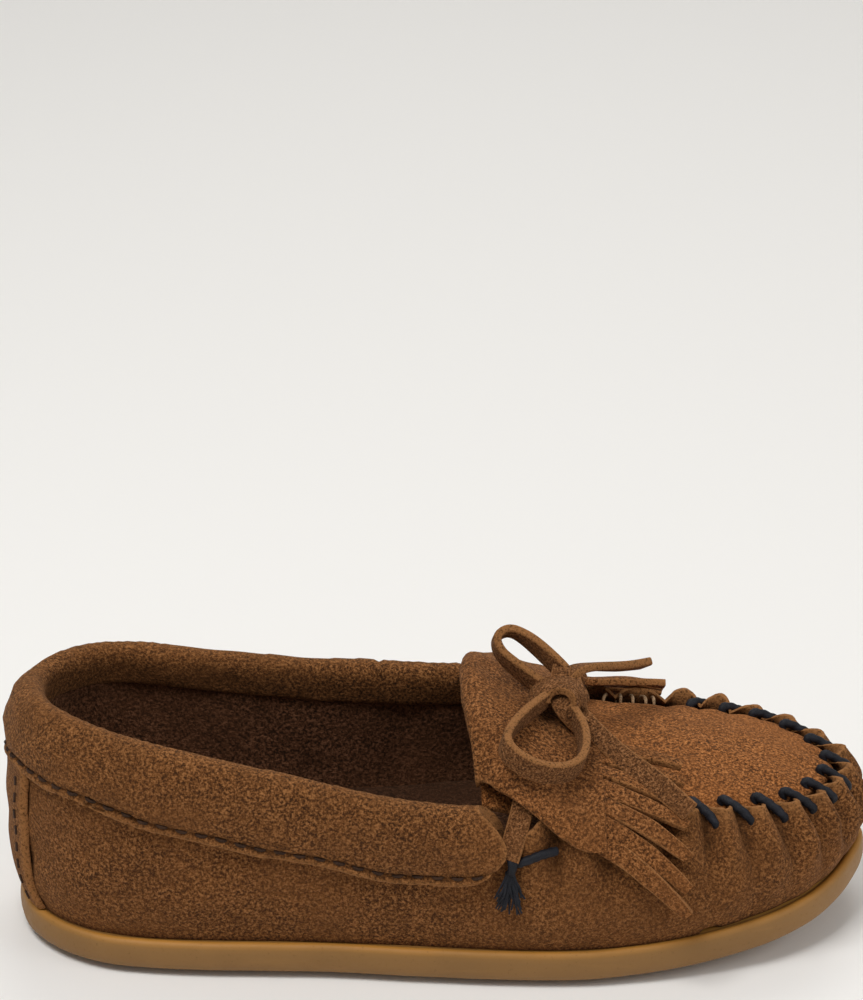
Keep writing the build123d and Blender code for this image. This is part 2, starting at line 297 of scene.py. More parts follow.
def curve_points(controls, count):
    """Points along the smooth line that control points make."""
    data = bpy.data.curves.new("route", "CURVE")
    data.dimensions = "3D"
    spline = data.splines.new("NURBS")
    spline.points.add(len(controls) - 1)
    for point, at in zip(spline.points, controls):
        point.co = (*at, 1.0)
    spline.order_u = 3
    spline.use_endpoint_u = True
    spline.resolution_u = max(4, count // max(1, len(controls) - 1))
    holder = bpy.data.objects.new("route", data)
    bpy.context.scene.collection.objects.link(holder)
    mesh = bpy.data.meshes.new_from_object(holder)
    line = np.array([v.co for v in mesh.vertices])
    bpy.data.objects.remove(holder)
    bpy.data.meshes.remove(mesh)
    bpy.data.curves.remove(data)
    return line


def even(line, step):
    """The line's points again, a step apart."""
    line = np.array(line, float)
    run = np.append(0, np.cumsum(np.linalg.norm(np.diff(line, axis=0), axis=1)))
    stops = np.linspace(0, run[-1], max(4, int(run[-1] / step) + 1))
    return np.stack([np.interp(stops, run, line[:, k]) for k in range(3)], axis=1)


def strap_table(line, across, width, thickness, corner=0.28, around=24):
    """A flat thong along a line, with across the direction of its width at each point."""
    line = np.array(line, float)
    tangents = np.gradient(line, axis=0)
    tangents /= np.linalg.norm(tangents, axis=1)[:, None]
    outline = []
    for n in range(around):
        turn = 2 * math.pi * n / around
        c, s = math.cos(turn), math.sin(turn)
        a, b = math.copysign(abs(c) ** corner, c), math.copysign(abs(s) ** 0.5, s)
        outline.append((a * 0.5, b * 0.5))
    sections, marks = [], []
    for i, (point, tangent) in enumerate(zip(line, tangents)):
        wide = np.array(across[i] if np.ndim(across) > 1 else across, float)
        wide = wide - tangent * (wide @ tangent)
        wide /= np.linalg.norm(wide)
        thin = np.cross(tangent, wide)
        w = width[i] if np.ndim(width) else width
        sections.append([point + wide * a * w + thin * b * thickness for a, b in outline])
        marks += [1.0 if abs(a) > 0.42 else 0.0 for a, b in outline]
    points, faces = loft_table(sections)
    return points, faces, marks + [1.0, 1.0]


# ---- materials ------------------------------------------------------------------------------
class Number:
    """A shader socket that takes part in Python expressions."""

    def __init__(self, tree, socket):
        self.tree, self.socket = tree, socket

    def _math(self, operation, *values):
        """A Math node on values or sockets."""
        return self.tree.add("Math", {"operation": operation}, dict(enumerate(values)))

    def __add__(self, other):
        return self._math("ADD", self, other)

    def __mul__(self, other):
        return self._math("MULTIPLY", self, other)

    __radd__, __rmul__ = __add__, __mul__

    def between(self, low, high):
        """0 below low, 1 above high, smooth between."""
        return self.tree.add("MapRange", {"interpolation_type": "SMOOTHSTEP"},
                             {"Value": self, "From Min": low, "From Max": high})


class Tree:
    """A material's shader tree."""

    def __init__(self, name):
        self.material = bpy.data.materials.new(name)
        self.material.use_nodes = True
        self.nodes = self.material.node_tree.nodes
        self.shader = self.nodes["Principled BSDF"]
        self.place = self.add("TexCoord", output="Object")

    def add(self, kind, settings=None, inputs=None, output=0):
        """A node of a type, its settings set first, then its inputs; gives one output."""
        node = self.nodes.new("ShaderNode" + kind)
        for key, value in (settings or {}).items():
            setattr(node, key, value)
        for key, value in (inputs or {}).items():
            self.feed(node.inputs[key], value)
        return Number(self, node.outputs[output])

    def feed(self, socket, value):
        """Links a Number to a socket, or sets the socket's own value."""
        if isinstance(value, Number):
            self.material.node_tree.links.new(value.socket, socket)
        elif socket.type == "RGBA" and len(value) == 3:
            socket.default_value = (*value, 1.0)
        else:
            socket.default_value = value

    def noise(self, size, detail, rough, stretch=None):
        """Noise with features of a size in millimetres."""
        place = self.place
        if stretch:
            place = self.add("Mapping", {}, {"Vector": place, "Scale": stretch})
        return self.add("TexNoise", {}, {"Vector": place, "Scale": 1000.0 / size, "Detail": detail,
                                         "Roughness": rough})

    def mark(self, name):
        """The float mark of that name on the mesh's points."""
        return self.add("Attribute", {"attribute_name": name}, output="Fac")

    def mix(self, amount, a, b):
        """Colours a and b mixed."""
        node = self.nodes.new("ShaderNodeMix")
        node.data_type = "RGBA"
        self.feed(node.inputs[0], amount)
        self.feed(node.inputs[6], a)
        self.feed(node.inputs[7], b)
        return Number(self, node.outputs[2])

    def finish(self, colour, roughness, height, depth, constants):
        """Sets the shader: depth is the height's range in millimetres."""
        bump = self.add("Bump", {}, {"Height": height, "Distance": depth * MM, "Strength": 1.0},
                        "Normal")
        self.feed(self.shader.inputs["Base Color"], colour)
        self.feed(self.shader.inputs["Roughness"], roughness)
        self.feed(self.shader.inputs["Normal"], bump)
        for name, value in constants.items():
            self.shader.inputs[name].default_value = value
        return self.material


def shade(colour, factor):
    """A colour made darker or lighter."""
    return tuple(min(1.0, c * factor) for c in colour[:3])


LIGHT_NAP = (2.3, 2.7, 3.4)                 # how much lighter the nap's tips are, by channel


def suede(name, base, edge, nap=1.0, depth=0.8):
    """Brushed suede: clumped nap, darker strokes, raw edges lightened with their own paler colour and a
    painted highlight, and painted shade where the shade mark is set.
    """
    tree = Tree(name)
    clumps = tree.noise(0.62 * nap, 2.0, 0.6)
    fibres = tree.noise(0.32 * nap, 2.0, 0.6)
    strokes = tree.noise(9.0, 3.0, 0.6)
    blotch = tree.noise(34.0, 2.0, 0.5)
    grain = clumps * 0.62 + fibres * 0.38
    dark = shade(base, 0.22)
    light = tuple(c * k for c, k in zip(base, LIGHT_NAP))
    colour = tree.mix(grain.between(0.39, 0.52), dark, base)
    colour = tree.mix(grain.between(0.50, 0.62) * 0.9, colour, light)
    colour = tree.mix(strokes.between(0.35, 0.7) * 0.30, colour, shade(base, 0.60))
    colour = tree.mix(blotch.between(0.4, 0.7) * 0.28, colour, shade(base, 1.32))
    # Raw edges lighter: partly the cut edge's own paler colour, partly a painted highlight where edges
    # catch the light.
    raw_edge_and_highlight_mask = tree.mark("edge") * grain.between(0.30, 0.52)
    colour = tree.mix(raw_edge_and_highlight_mask * 0.8, colour, edge)
    # Painted shade: darker wherever the mesh's shade mark is set, in creases, grooves, under hems and
    # inside the shoe.
    colour = tree.mix(tree.mark("shade") * 0.85, colour, shade(base, 0.16))
    height = grain + strokes * 0.3
    return tree.finish(colour, 0.88 + fibres * 0.1, height, depth,
                       {"Specular IOR Level": 0.16, "Sheen Weight": 0.12, "Sheen Roughness": 0.5,
                        "Sheen Tint": (0.75, 0.42, 0.2, 1.0)})


def thread_finish(name, base, gloss):
    """Twisted waxed or plain thread."""
    tree = Tree(name)
    fibre = tree.noise(0.28, 3.0, 0.7)
    patch = tree.noise(2.6, 2.0, 0.5)
    colour = tree.mix(fibre.between(0.35, 0.62), shade(base, 0.45), shade(base, 1.5))
    colour = tree.mix(patch.between(0.45, 0.7) * 0.5, colour, shade(base, 2.2))
    return tree.finish(colour, gloss + fibre * 0.25, fibre, 0.12, {"Specular IOR Level": 0.25})


def gum_rubber(name, side, ledge):
    """Honey gum rubber: an amber ledge over a paler, dustier side."""
    tree = Tree(name)
    cloud = tree.noise(22.0, 3.0, 0.55)
    speck = tree.noise(0.8, 2.0, 0.6)
    scuff = tree.noise(5.0, 4.0, 0.7, stretch=(0.25, 0.25, 2.0))
    colour = tree.mix(tree.mark("ledge"), side, ledge)
    colour = tree.mix(cloud.between(0.35, 0.7) * 0.35, colour, shade(side, 0.72))
    colour = tree.mix(scuff.between(0.55, 0.75) * 0.25, colour, shade(side, 1.35))
    colour = tree.mix(speck.between(0.62, 0.75) * 0.35, colour, shade(side, 0.5))
    # Painted shade in the groove of the sole's ledge, where the shade mark is set.
    colour = tree.mix(tree.mark("shade") * 0.8, colour, shade(side, 0.2))
    return tree.finish(colour, 0.42 + speck * 0.25 + scuff * 0.1, speck * 0.4 + scuff, 0.06,
                       {"Specular IOR Level": 0.45})


def plain_stage(name, colour):
    """Matt painted board with a faint tooth."""
    tree = Tree(name)
    tooth = tree.noise(3.0, 2.0, 0.5)
    return tree.finish(tree.mix(tooth * 0.02, colour, shade(colour, 0.9)), 0.7 + tooth * 0.05,
                       tooth, 0.01, {"Specular IOR Level": 0.2})


MATERIALS = {}


def material(name):
    """The material of a name, made when it is first asked for."""
    if name not in MATERIALS:
        tones = bpy.context.scene.moccasin_tones
        makers = {
            "upper": lambda: suede("upper_suede", tones.upper, tones.raw_edge_and_highlight),
            "plug": lambda: suede("plug_suede", tones.plug, tones.raw_edge_and_highlight),
            "flap": lambda: suede("flap_suede", tones.flap, tones.raw_edge_and_highlight),
            "thong": lambda: suede("thong_suede", tones.thong, tones.raw_edge_and_highlight, 0.8),
            "lining": lambda: suede("lining_suede", tones.lining, shade(tones.lining, 2.0), 1.2),
            "rubber": lambda: gum_rubber("gum_rubber", tones.rubber, tones.ledge),
            "waxed": lambda: thread_finish("waxed_thread", tones.waxed_thread, 0.42),
            "fine": lambda: thread_finish("fine_thread", tones.fine_thread, 0.6),
            "tan": lambda: thread_finish("tan_thread", tones.tan_thread, 0.6),
            "board": lambda: thread_finish("board_and_felt", shade(tones.tan_thread, 0.7), 0.8),
            "foam": lambda: thread_finish("pale_foam", shade(tones.tan_thread, 1.6), 0.8),
            "stage": lambda: plain_stage("pale_stage", tones.stage),
        }
        MATERIALS[name] = makers[name]()
    return MATERIALS[name]


def keep(piece, finish, body=SHOE, nodes=()):
    """Gives a piece its material and slot, and sets it on a body."""
    piece.data.materials.append(material(finish))
    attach(piece, body)
    if nodes:
        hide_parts(*nodes)
    return piece


# ---- what a user would change ---------------------------------------------------------------
def length_prop(name, value, words):
    """A size in millimetres."""
    return bpy.props.FloatProperty(name=name, description=words, default=value, min=0.0)


def tone_prop(name, value, words):
    """A colour."""
    return bpy.props.FloatVectorProperty(name=name, description=words, default=value, size=3,
                                         min=0.0, max=1.0, subtype="COLOR")


class MoccasinSizes(bpy.types.PropertyGroup):
    leather: length_prop("Leather", 1.7, "Thickness of the suede, in millimetres")
    pucker: length_prop("Pucker", 3.1, "How far the gathers stand out at the toe, in millimetres")
    thong_width: length_prop("Thong width", 4.8, "Width of the thong, in millimetres")
    thong_thickness: length_prop("Thong thickness", 1.9, "Thickness of the thong, in millimetres")
    whip_radius: length_prop("Whip stitch radius", 0.95, "Radius of the waxed thread, in millimetres")
    fine_radius: length_prop("Fine thread radius", 0.34, "Radius of the sewing thread, in millimetres")


class MoccasinTones(bpy.types.PropertyGroup):
    upper: tone_prop("Upper", (0.160, 0.059, 0.0155), "Suede of the wall, collar and kiltie")
    plug: tone_prop("Plug", (0.245, 0.083, 0.020), "Suede of the toe plug")
    flap: tone_prop("Flap", (0.190, 0.068, 0.018), "Suede of the flap and its fringe")
    thong: tone_prop("Thong", (0.165, 0.064, 0.020), "Suede of the thong")
    # Lining: a dark tone that paints the shade inside the shoe, matching the wall's shaded inner face.
    lining: tone_prop("Lining", (0.098, 0.037, 0.015), "Inside of the shoe")
    # Cut edges: their own paler colour, made lighter still as a painted highlight where they catch the
    # light.
    raw_edge_and_highlight: tone_prop("Raw edge", (0.34, 0.150, 0.050), "Cut edges of the suede")
    rubber: tone_prop("Rubber", (0.265, 0.132, 0.034), "Side of the sole")
    ledge: tone_prop("Ledge", (0.46, 0.205, 0.030), "Ledge of the sole")
    waxed_thread: tone_prop("Waxed thread", (0.0075, 0.0080, 0.0115), "Thick whip stitches")
    fine_thread: tone_prop("Fine thread", (0.032, 0.014, 0.006), "Machine stitches")
    tan_thread: tone_prop("Tan thread", (0.34, 0.22, 0.12), "Fine stitches on the inner side")
    stage: tone_prop("Stage", (0.88, 0.862, 0.832), "Floor and backdrop")


def sizes():
    """The sizes that a user may change."""
    return bpy.context.scene.moccasin_sizes


# ---- shapes shared by several pieces --------------------------------------------------------
def open_loft(sections, ring=False):
    """Points and faces of open sections joined in a row, or in a ring."""
    sections = np.array(sections)
    rows, count = sections.shape[:2]
    faces = []
    for i in range(rows if ring else rows - 1):
        a, b = i * count, (i + 1) % rows * count
        faces += [[a + j, a + j + 1, b + j + 1, b + j] for j in range(count - 1)]
    return sections.reshape(-1, 3).tolist(), faces


def edge_radius(probe, place, z, high=60.0):
    """Radius of a nearly upright face at a place, from the height nearest to z that has one."""
    for lift in np.arange(0, high, 0.5):
        for level in (z + lift, z - lift):
            radius = probe.inward(place, level)
            if radius is not None:
                return radius
    raise ValueError("no face at this place")


def top_height(probe, place, start=70.0, step=0.25):
    """Greatest height at which a level ray from outside meets the node."""
    z = start
    while z > 0 and probe.inward(place, z) is None:
        z -= step
    return z


def stations(first, last, step):
    """Evenly spaced places round the shoe, about a step apart."""
    count = max(2, int(round((last - first) / step)) + 1)
    return np.linspace(first, last, count)


def seam_stops():
    """Places of the whip stitches, and of the gathers that go on under the fringe."""
    stops = sorted(place_of(group.mean(axis=0)) for group in islands("toe_whip_stitches"))
    gap = stops[1] - stops[0]
    before = [stops[0] - gap * n for n in range(4, 0, -1)]
    after = [stops[-1] + gap * n for n in range(1, 4)]
    return np.array(before + stops + after)


STOPS = seam_stops()


def gather(s):
    """0 at a stitch and 1 midway between two, and how strong the gathers are at s."""
    i = int(np.clip(np.searchsorted(STOPS, s) - 1, 0, len(STOPS) - 2))
    phase = (s - STOPS[i]) / (STOPS[i + 1] - STOPS[i])
    lone = np.random.default_rng(100 + i).uniform(0.75, 1.15)
    strength = smooth((s - STOPS[0]) / 12) * smooth((STOPS[-1] - s) / 12)
    return abs(math.sin(math.pi * min(max(phase, 0.0), 1.0))) ** 0.6, strength * lone


# ---- bottom unit ----------------------------------------------------------------------------
class BuildSole(bpy.types.Operator):
    """Gum rubber sole with a rounded edge, a grooved ledge and tread studs"""
    bl_idname = "moccasin.build_sole"
    bl_label = "Sole"

    # Points under the sole, as parts of the way out to its edge. Then each point over the
    # edge: its distance out from it, its height, and how amber it is.
    UNDER = (0.0, 0.4, 0.75)
    GROOVE, MIDDLE = 7.85, 8.1
    EDGE = [(-3.0, 1.5, 0.0), (-1.4, 1.55, 0.0), (-0.6, 1.8, 0.0), (-0.15, 2.4, 0.0), (0.05, 3.4, 0.0),
            (0.1, 4.8, 0.0), (0.0, 6.0, 0.0), (-0.12, 7.0, 0.1), (-0.35, 7.6, 0.5), (-0.8, 8.05, 1.0),
            (-1.35, 8.2, 1.0), (-1.9, 8.15, 1.0), (-2.15, GROOVE, 0.8), (-2.45, GROOVE, 0.8),
            (-2.8, 8.15, 1.0), (-4.5, 8.2, 1.0), (-9.0, 8.2, 1.0)]

    def execute(self, context):
        probe = Probe("outsole")
        sections, ledge, dark = [], [], []
        for s in stations(0, AROUND, 1.4)[:-1]:
            place = station(s)
            radius = edge_radius(probe, place, 5 + rise(place.at(38, 0)[0]))
            radius += 0.12 * wave(3, 30, s)
            row = [(radius * part, STUD_HEIGHT, 0.0) for part in self.UNDER]
            row += [(radius + out, z, amber) for out, z, amber in self.EDGE]
            row.append((0.0, self.MIDDLE, 1.0))
            points = []
            for r, z, amber in row:
                point = place.at(r, z)
                point[2] += rise(point[0])
                points.append(point)
            sections.append(points)
            ledge += [amber for r, z, amber in row]
            # Painted shade: the groove in the ledge is marked darker.
            dark += [0.6 if z == self.GROOVE else 0.0 for r, z, amber in row]
        points, faces = open_loft(sections, ring=True)
        sole = finish_mesh("sole", points, faces, {"ledge": ledge, "shade": dark}, 60)
        keep(sole, "rubber", nodes=("outsole",))
        keep(finish_mesh("tread_studs", *self.studs(probe)), "rubber")
        return {"FINISHED"}

    @staticmethod
    def studs(probe, pitch=10.0, radius=2.2):
        """A rounded stud wherever the frame's sole has one."""
        profile = [(0.0, 0.0), (0.6, 0.0), (0.86, 0.02), (0.97, 0.2), (1.0, 0.5), (1.04, 1.2),
                   (1.1, 2.2)]
        tables = []
        for row in range(-4, 5):
            for step in range(-9, 10):
                x, y = (step + (row % 2) / 2) * pitch, row * pitch * math.sin(math.pi / 3)
                found = probe.hit((x, y, -20.0), (0, 0, 1))
                if found is None or found[2] > rise(x) + 0.6:
                    continue
                sections = []
                for turn in np.linspace(0, 2 * math.pi, 21)[:-1]:
                    out = np.array((math.cos(turn), math.sin(turn), 0.0))
                    foot = np.array((x, y, rise(x)))
                    sections.append([foot + out * radius * r + UP * z for r, z in profile])
                tables.append(open_loft(sections, ring=True))
        return join_tables(tables)


class BuildInside(bpy.types.Operator):
    """Footbed and heel lining, and the finishes of the hidden layers"""
    bl_idname = "moccasin.build_inside"
    bl_label = "Inside"

    BED_TOP, BED_UNDER, BED_CUP = 14.5, 13.0, 1.6
    LAYERS = {"insole_board": "board", "insole_foam": "foam", "midsole_filler": "board",
              "heel_counter": "lining"}

    def execute(self, context):
        probe = Probe("sock_lining")
        sections, dark = [], []
        parts = (0.0, 0.25, 0.5, 0.7, 0.84, 0.93, 0.98, 1.0)
        for s in stations(0, AROUND, 2.4)[:-1]:
            place = station(s)
            radius = edge_radius(probe, place, 14.2 + rise(place.at(34, 0)[0]), 30.0)
            row = []
            for part in parts:
                point = place.at(radius * part, 0)
                cup = self.BED_CUP * smooth((part - 0.7) / 0.3)
                point[2] = self.BED_TOP + rise(point[0]) + cup + 0.2 * wave(5, 22, point[0], point[1])
                row.append(point)
            row += [row[-1] - UP * 2.4, place.at(radius * 0.5, self.BED_UNDER + rise(point[0])),
                    place.at(0, self.BED_UNDER + rise(place.spine[0]))]
            sections.append(row)
            # Painted shade: the footbed is darker towards its edge and on its underside, inside the
            # shaded shoe.
            dark += [0.35 + 0.45 * part for part in parts] + [0.9] * 3
        points, faces = open_loft(sections, ring=True)
        bed = finish_mesh("footbed", points, faces, {"shade": dark})
        keep(bed, "lining", nodes=("sock_lining",))
        self.heel()
        for node, finish in self.LAYERS.items():
            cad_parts[node].data.materials.clear()
            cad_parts[node].data.materials.append(material(finish))
        return {"FINISHED"}

    @staticmethod
    def heel():
        """Thin suede against the inside of the wall, up under the collar."""
        wall, collar = Probe("side_wall"), Probe("collar")
        outer, inner = [], []
        for s in stations(-123, 122, 2.0):
            place = station(s)
            top = top_height(collar, place) - 7.5
            far, near = [], []
            for z in np.linspace(14.0, top, 14):
                radius = edge_radius(wall, place, min(z, top - 2.0)) - sizes().leather - 0.5
                radius += 0.3 * wave(6, 16, s, z)
                near.append(place.at(radius - 0.8, z))
                far.append(place.at(radius, z))
            inner.append(near)
            outer.append(far)
        points, faces, edge = sheet_table(inner, outer)
        keep(finish_mesh("quarter_lining_suede", points, faces, {"edge": edge}),
             "lining", nodes=("heel_lining",))


# ---- upper ----------------------------------------------------------------------------------
class BuildWall(bpy.types.Operator):
    """The suede wall from the heel round the toe, gathered between the whip stitches"""
    bl_idname = "moccasin.build_wall"
    bl_label = "Wall"

    def execute(self, context):
        leather, pucker = sizes().leather, sizes().pucker
        probe = Probe("side_wall")
        sections, edge, dark = [], [], []
        for s in stations(0, AROUND, 0.8)[:-1]:
            place = station(s)
            foot = FLAT_TOP - 0.1 + rise(place.at(36, 0)[0])
            top = top_height(probe, place) - 0.4
            swell, strength = gather(s)
            lift = strength * (1.6 * swell - 0.35 + 0.9 * smooth((s - TOE_START - 60) / 40))
            row, edges, darks = [], [], []
            for part in np.linspace(0, 1, 22):
                z = foot + (top - foot) * part
                radius = edge_radius(probe, place, z)
                below, round_swell = (top - z) / 10.0, swell ** 1.8
                fold = math.exp(-(below / 1.15) ** 1.7) * strength
                radius += pucker * (round_swell - 0.62) * fold
                belly = math.exp(-(below - 0.4) ** 2 * 5)
                radius += 0.8 * pucker * strength * belly * (round_swell - 0.45)
                radius += 0.28 * wave(8, 17, s, z) * smooth((z - foot) / 6)
                radius += 0.12 * wave(9, 5, s * 1.3, z) * smooth((z - foot) / 6)
                point = place.at(radius, z)
                point[2] += lift * part ** 6
                row.append(point)
                # The outer face just under the gathered top is lightened like a raw edge: its own
                # colour and a painted highlight.
                edges.append(strength * smooth((part - 0.93) / 0.07) * 0.6)
                # Painted shade in the creases at the stitches near the top, and along the foot of the
                # wall by the sole.
                crease = fold * smooth(0.9 - round_swell * 1.3)
                darks.append(crease * 0.5 + 0.5 * smooth(1 - part * 22))
            outer_top = row[-1]
            turn = -np.append(place.out, 0.0)
            roll = 0.15 * strength
            row += [outer_top + turn * 0.25 + UP * (0.4 + roll),
                    outer_top + turn * leather * 0.55 + UP * 0.55,
                    outer_top + turn * (leather - 0.2) + UP * 0.3]
            edges += [1.0, 1.0, 1.0]
            # Painted shade, light, on the inner side of the rolled top.
            darks += [0.0, 0.0, 0.2]
            for part in (0.97, 0.9, 0.75, 0.5, 0.25, 0.0):
                z = foot + (top - foot) * part
                row.append(place.at(edge_radius(probe, place, z) - leather, z))
                edges.append(0.0)
                # Painted shade on the inner face, inside the shoe.
                darks.append(0.62)
            sections.append(row)
            edge += edges
            dark += darks
        points, faces = loft_table(sections, ring=True)
        keep(finish_mesh("side_wall_suede", points, faces, {"edge": edge, "shade": dark}),
             "upper", nodes=("side_wall",))
        return {"FINISHED"}


class BuildCollar(bpy.types.Operator):
    """The folded cuff round the opening, with its rolled top and stitched hem"""
    bl_idname = "moccasin.build_collar"
    bl_label = "Collar"

    # Distance out from the wall and height under the rolled top, from behind the outer hem
    # over the top to behind the inner hem, with how raw each point is (over the rolled top, a faint
    # painted highlight) and how dark (painted shade under the hems, in the groove and down the inner
    # side).
    PROFILE = [
        (-0.3, -14.8, 0.0, 0.9), (0.2, -15.6, 0.6, 0.7), (1.0, -15.95, 1.0, 0.2),
        (1.9, -15.7, 1.0, 0.0), (2.25, -15.1, 0.5, 0.0), (2.1, -14.5, 0.1, 0.0),
        (1.55, -14.0, 0.0, 0.35), (1.5, -13.7, 0.0, 0.35),
        (2.1, -13.1, 0.0, 0.0), (2.55, -12.0, 0.0, 0.0), (2.85, -10.4, 0.0, 0.0), (3.0, -8.6, 0.0, 0.0),
        (3.05, -6.8, 0.0, 0.0), (2.95, -5.0, 0.0, 0.0), (2.7, -3.4, 0.0, 0.0), (2.2, -2.0, 0.0, 0.0),
        (1.4, -0.9, 0.05, 0.0), (0.4, -0.2, 0.1, 0.0), (-0.8, 0.1, 0.1, 0.0), (-2.0, -0.1, 0.1, 0.0),
        (-3.1, -0.7, 0.0, 0.05), (-3.9, -1.7, 0.0, 0.1), (-4.4, -3.0, 0.0, 0.15),
        (-4.5, -4.6, 0.0, 0.2),
        (-4.4, -6.3, 0.0, 0.25), (-4.2, -7.9, 0.0, 0.3), (-4.1, -8.8, 0.3, 0.3), (-3.6, -9.3, 0.6, 0.5),
        (-2.9, -9.1, 0.3, 0.8), (-2.2, -7.4, 0.0, 1.0), (-1.4, -5.0, 0.0, 1.0), (-1.0, -8.0, 0.0, 1.0),
        (-0.7, -12.0, 0.0, 1.0),
    ]

    # Height that the topline gains on the inner side, and the outer hem gains, at places round
    # the shoe from the inner front end round the heel.
    INNER_SIDE = [(-126, 3.2), (-112, 2.6), (-82, 0.2), (-52, -2.4), (-26, -3.5), (-13, -3.0),
                  (0, -1.0), (10, 0)]
    HEM = [(0, 0), (30, 0), (58, -2.3), (80, -3.0), (100, -2.4), (112, -1.0), (124, 1.4)]
    WALL, SLANT = 1.75, -5.6               # the wall's thickness, and how the front ends lean

    def execute(self, context):
        probe = Probe("collar")
        front = float(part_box("collar")[1][0] / MM)
        near, far = place_of((front, -30.0)), place_of((front, 30.0))
        sections, edge, dark = [], [], []
        run = stations(-(AROUND - far), near, 1.1)
        for s in run:
            place = station(s)
            top = top_height(probe, station(np.clip(s, run[0] + 1, run[-1] - 1)))
            top += np.interp(s, *zip(*self.INNER_SIDE))
            hem = np.interp(s, *zip(*self.HEM))
            to_end = min(s - run[0], run[-1] - s)
            end = smooth(1 - to_end / 9.0)
            swing = 1 + 0.10 * wave(12, 26, s)
            sink = 0.5 * wave(13, 40, s)
            for out, depth, _, _ in self.PROFILE:
                z = top + depth + (sink if depth < -13 else sink * 0.3)
                z += hem * smooth((-depth - 5) / 9) * (1 if out > -1.5 else 0)
                face = edge_radius(probe, place_near_end(s, run, 1.2), min(z, top - 1.5)) - self.WALL
                bulge = out * swing + 0.22 * wave(14, 11, s, depth * 1.5) * (1 if out > 0 else 0.5)
                point = place.at(face + bulge, z)
                ahead = np.append(place.ahead, 0.0) * (1 if s > 0 else -1)
                slant = self.SLANT * min(1.0, abs(depth + 8.2) / 7.8) ** 2.2
                sections.append(point + ahead * slant * end)
            edge += [max(raw, smooth(1 - to_end / 1.3)) for _, _, raw, _ in self.PROFILE]
            # Painted shade under the hems, in the groove over the outer hem and down the inner side.
            dark += [level for _, _, _, level in self.PROFILE]
        sections = np.array(sections).reshape(len(run), len(self.PROFILE), 3)
        points, faces = loft_table(sections)
        marks = {"edge": edge + [1.0, 1.0], "shade": dark + [0.0, 0.0]}
        keep(finish_mesh("collar_suede", points, faces, marks), "upper",
             nodes=("collar", "lace_collar_run"))
        self.stitch(sections)
        return {"FINISHED"}

    @staticmethod
    def stitch(sections, pitch=4.2, stitch=2.3, row=6, step=0.35):
        """Stitches lying in the groove just over the hem."""
        line = even(sections[:, row] * 0.5 + sections[:, row + 1] * 0.5, step)
        outward = line.copy()
        outward[:, :2] -= np.where(line[:, :1] < SPINE_HEEL[0], SPINE_HEEL, line[:, :2] * (1, 0))
        outward[:, 2] = 0
        outward /= np.linalg.norm(outward, axis=1)[:, None]
        tables = []
        every, length = int(pitch / step), int(stitch / step)
        for i in range(4, len(line) - length - 4, every):
            rng = np.random.default_rng(i)
            span = line[i:i + length + 1] + UP * rng.uniform(-0.12, 0.12)
            bow = np.sin(np.linspace(0, math.pi, len(span)))[:, None] ** 0.6
            path = span + outward[i:i + length + 1] * (bow * 0.62 - 0.12)
            tables.append(tube_table(path, sizes().fine_radius, 8, 0.15, 0.9))
        keep(finish_mesh("collar_stitches", *join_tables(tables)), "fine",
             nodes=("collar_stitching",))


def place_near_end(s, run, margin):
    """The place at s, kept a margin inside both ends of a run."""
    return station(float(np.clip(s, run[0] + margin, run[-1] - margin)))


class BuildHeelStrip(bpy.types.Operator):
    """The strip of suede down the back of the heel, with its two rows of stitches"""
    bl_idname = "moccasin.build_heel_strip"
    bl_label = "Heel strip"

    def execute(self, context):
        probe = Probe("heel_backstay")
        low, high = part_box("heel_backstay")
        reach = (float(low[1] / MM) + 0.2, float(high[1] / MM) - 0.2)
        foot, top = float(low[2] / MM) + 0.4, float(high[2] / MM) - 0.8
        outer, inner = [], []
        for z in np.linspace(foot, top + 2.0, 26):
            over, under = [], []
            for y in np.linspace(*reach, 26):
                found = probe.hit((-140.0, y, min(z, top)), (1, 0, 0))
                if found is None:
                    raise ValueError("the heel strip has a gap")
                side = 0.25 * wave(21, 14, y, z) * smooth((z - foot) / 5)
                point = np.array((found[0] - 0.1 - side * 0.6, y + 0.2 * wave(22, 9, z), z))
                over.append(point)
                under.append(point + np.array((sizes().leather, 0, 0)))
            outer.append(over)
            inner.append(under)
        points, faces, edge = sheet_table(outer, inner)
        keep(finish_mesh("heel_strip_suede", points, faces, {"edge": edge}), "upper",
             nodes=("heel_backstay",))
        outer = np.array(outer)
        tables = []
        pitch, length = 10, 6
        for column in (2, -3):
            line = even(outer[:, column], 0.4)
            for i in range(3, len(line) - 8, pitch):
                path = line[i:i + length] - np.array((0.1, 0, 0))
                tables.append(tube_table(path, sizes().fine_radius, 8, 0.15, 0.9))
        keep(finish_mesh("heel_strip_stitches", *join_tables(tables)), "fine",
             nodes=("backstay_stitching",))
        return {"FINISHED"}


